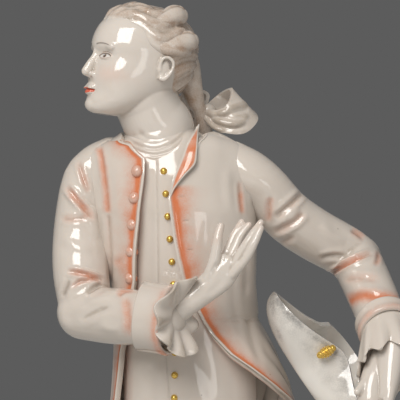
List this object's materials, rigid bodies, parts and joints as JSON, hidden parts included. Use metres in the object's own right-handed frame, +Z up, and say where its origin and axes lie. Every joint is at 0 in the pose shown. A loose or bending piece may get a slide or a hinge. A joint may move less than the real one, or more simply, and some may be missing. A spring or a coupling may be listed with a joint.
{
  "type": "porcelain figurine",
  "caption": "Glazed porcelain figurine of a standing gentleman in an open coat and long waistcoat, cocked hat held at the side, on an oval base.",
  "frame": {"origin": "centre of the oval base's flat underside", "axes": "+Z up through the figure, -Y the way the figure faces, +X to the figure's left, which is the viewer's right"},
  "size_m": [0.1132, 0.0735, 0.2442],
  "materials": {
    "white_glaze": "warm white porcelain under a clear gloss glaze, with coral airbrushed along folds and edges",
    "flesh_glaze": "warm white porcelain under a clear gloss glaze, faintly tinted skin",
    "hair_glaze": "pale beige-brown wash under a gloss glaze, brushed along the locks",
    "coral_glaze": "coral airbrushed colour under a gloss glaze",
    "grey_glaze": "pale grey airbrushed colour under a gloss glaze, darker along the brim",
    "gilding": "burnished gilding over the glaze"
  },
  "bodies": {
    "root": {"base": "white_glaze", "bow_knot": "white_glaze", "bow_left_loop": "white_glaze", "bow_right_loop": "white_glaze", "breeches": "white_glaze", "coat_bodice": "white_glaze", "coat_button_1": "coral_glaze", "coat_button_2": "coral_glaze", "coat_button_3": "coral_glaze", "coat_button_4": "coral_glaze", "coat_button_5": "coral_glaze", "coat_left_lapel": "coral_glaze", "coat_left_skirt": "white_glaze", "coat_right_skirt": "white_glaze", "hair": "hair_glaze", "hat_loop": "gilding", "head": "flesh_glaze", "left_cuff": "white_glaze", "left_hand": "flesh_glaze", "left_lower_curl": "hair_glaze", "left_ruffle": "white_glaze", "left_shoe": "white_glaze", "left_shoe_buckle": "gilding", "left_sleeve": "white_glaze", "left_stocking": "white_glaze", "left_upper_curl": "hair_glaze", "neckcloth": "white_glaze", "queue": "hair_glaze", "right_cuff": "white_glaze", "right_hand": "flesh_glaze", "right_lower_curl": "hair_glaze", "right_ruffle": "white_glaze", "right_shoe": "white_glaze", "right_shoe_buckle": "gilding", "right_sleeve": "white_glaze", "right_stocking": "white_glaze", "right_upper_curl": "hair_glaze", "tree_stump": "white_glaze", "tricorne_hat": "grey_glaze", "waistcoat": "white_glaze", "waistcoat_button_1": "gilding", "waistcoat_button_10": "gilding", "waistcoat_button_11": "gilding", "waistcoat_button_2": "gilding", "waistcoat_button_3": "gilding", "waistcoat_button_4": "gilding", "waistcoat_button_5": "gilding", "waistcoat_button_6": "gilding", "waistcoat_button_7": "gilding", "waistcoat_button_8": "gilding", "waistcoat_button_9": "gilding"}
  },
  "joints": []
}
